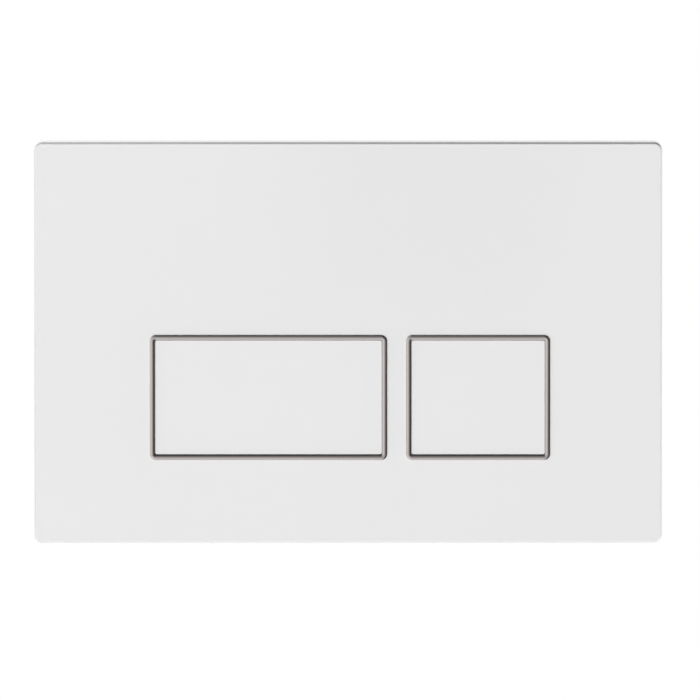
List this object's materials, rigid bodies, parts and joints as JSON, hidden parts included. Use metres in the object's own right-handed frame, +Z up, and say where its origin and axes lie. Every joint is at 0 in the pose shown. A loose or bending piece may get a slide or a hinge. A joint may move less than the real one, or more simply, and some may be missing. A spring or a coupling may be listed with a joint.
{
  "type": "flush button plate",
  "caption": "Wall flush plate for a concealed cistern: white open-backed cover with a wide and a narrow hinged button in chrome trim rings, on a frame with sprung push rods.",
  "frame": {"origin": "on the finished wall, behind the middle of the face plate", "axes": "+Z up, +X to the right as seen from the room, +Y into the wall; the front looks along -Y"},
  "size_m": [0.25, 0.0889, 0.16],
  "materials": {
    "white_abs": "smooth gloss white",
    "chrome_trim": "bright chrome plating",
    "frame_plastic": "matt grey moulding",
    "lever_plastic": "matt pale moulding",
    "rod_plastic": "matt dark rod",
    "steel": "plain zinc-coated steel"
  },
  "bodies": {
    "plate": {"face_plate": "white_abs", "mounting_frame": "frame_plastic", "full_flush_bezel": "chrome_trim", "half_flush_bezel": "chrome_trim", "full_flush_hinge_pin": "steel", "half_flush_hinge_pin": "steel", "full_flush_rod_guide": "lever_plastic", "half_flush_rod_guide": "lever_plastic", "full_flush_spring": "steel", "half_flush_spring": "steel", "left_fixing_stud": "steel", "right_fixing_stud": "steel", "left_fixing_washer": "steel", "right_fixing_washer": "steel", "left_fixing_nut": "steel", "right_fixing_nut": "steel"},
    "full_flush_button": {"full_flush_cap": "white_abs", "full_flush_rocker": "lever_plastic"},
    "half_flush_button": {"half_flush_cap": "white_abs", "half_flush_rocker": "lever_plastic"},
    "full_flush_plunger": {"full_flush_rod": "rod_plastic", "full_flush_rod_head": "lever_plastic"},
    "half_flush_plunger": {"half_flush_rod": "rod_plastic", "half_flush_rod_head": "lever_plastic"}
  },
  "joints": [
    {"name": "full_flush_press", "type": "hinge", "parent": "plate", "child": "full_flush_button", "pos_m": [-0.03175, -0.0084, 0.0098], "axis": [1, 0, 0], "range_deg": [0, 8], "stiffness_Nm_per_rad": 0.45, "springref_deg": -11.46},
    {"name": "half_flush_press", "type": "hinge", "parent": "plate", "child": "half_flush_button", "pos_m": [0.05175, -0.0084, 0.0098], "axis": [1, 0, 0], "range_deg": [0, 8], "stiffness_Nm_per_rad": 0.45, "springref_deg": -11.46},
    {"name": "full_flush_push", "type": "slide", "parent": "plate", "child": "full_flush_plunger", "axis": [0, 1, 0], "range_m": [0, 0.0044], "deforming": ["full_flush_spring"]},
    {"name": "half_flush_push", "type": "slide", "parent": "plate", "child": "half_flush_plunger", "axis": [0, 1, 0], "range_m": [0, 0.0044], "deforming": ["half_flush_spring"]}
  ],
  "couplings": [
    {"joint": "full_flush_push", "follows": "full_flush_press", "m_per_rad": 0.0315},
    {"joint": "half_flush_push", "follows": "half_flush_press", "m_per_rad": 0.0315}
  ]
}
